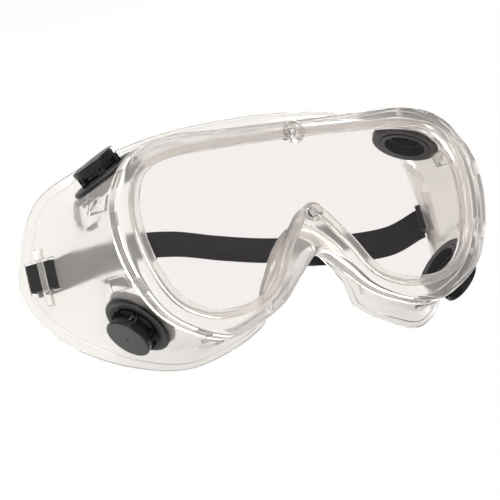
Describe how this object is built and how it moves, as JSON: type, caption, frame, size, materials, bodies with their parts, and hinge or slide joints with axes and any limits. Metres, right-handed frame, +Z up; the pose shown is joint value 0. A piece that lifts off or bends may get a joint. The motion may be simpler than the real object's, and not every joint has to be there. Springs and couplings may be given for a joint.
{
  "type": "safety goggles",
  "caption": "Chemical-splash goggles: a soft clear mask with a flat clear lens, capped round vents and an elastic strap threaded through a lug at each temple.",
  "frame": {"origin": "middle of the object's box on X and Y, at its lowest point, so that it stands on z = 0", "axes": "+Z up, -Y out of the front of the lens, X across the face, and the mask is mirror-symmetric over x = 0"},
  "size_m": [0.1806, 0.0707, 0.0861],
  "materials": {
    "soft_clear_vinyl": "clear flexible vinyl, slightly milky, glossy",
    "clear_polycarbonate": "clear hard polycarbonate, polished",
    "black_plastic": "black moulded plastic, satin",
    "black_webbing": "black woven elastic webbing"
  },
  "bodies": {
    "mask": {"mask_body": "soft_clear_vinyl", "lens": "clear_polycarbonate", "brow_stud": "clear_polycarbonate", "nose_stud": "clear_polycarbonate", "vent_body_upper_left": "black_plastic", "vent_body_upper_right": "black_plastic", "vent_body_lower_left": "black_plastic", "vent_body_lower_right": "black_plastic", "vent_ring_upper_left": "black_plastic", "vent_ring_upper_right": "black_plastic", "vent_ring_lower_left": "black_plastic", "vent_ring_lower_right": "black_plastic", "strap_loop_left": "black_webbing", "strap_loop_right": "black_webbing"},
    "strap": {"strap_band": "black_webbing", "strap_tail_left": "black_webbing", "strap_tail_right": "black_webbing"},
    "cap_upper_left": {"vent_cap_upper_left": "black_plastic"},
    "cap_upper_right": {"vent_cap_upper_right": "black_plastic"},
    "cap_lower_left": {"vent_cap_lower_left": "black_plastic"},
    "cap_lower_right": {"vent_cap_lower_right": "black_plastic"}
  },
  "joints": [
    {"name": "cap_slide_upper_left", "type": "slide", "parent": "mask", "child": "cap_upper_left", "axis": [-0.4848, 0, 0.8746], "range_m": [0, 0.01]},
    {"name": "cap_slide_upper_right", "type": "slide", "parent": "mask", "child": "cap_upper_right", "axis": [0.4848, 0, 0.8746], "range_m": [0, 0.01]},
    {"name": "cap_slide_lower_left", "type": "slide", "parent": "mask", "child": "cap_lower_left", "axis": [-0.7547, 0, -0.6561], "range_m": [0, 0.01]},
    {"name": "cap_slide_lower_right", "type": "slide", "parent": "mask", "child": "cap_lower_right", "axis": [0.7547, 0, -0.6561], "range_m": [0, 0.01]},
    {"name": "strap_swing", "type": "hinge", "parent": "mask", "child": "strap", "pos_m": [0, 0.02211, 0.04426], "axis": [1, 0, 0], "range_deg": [-30, 30]}
  ]
}
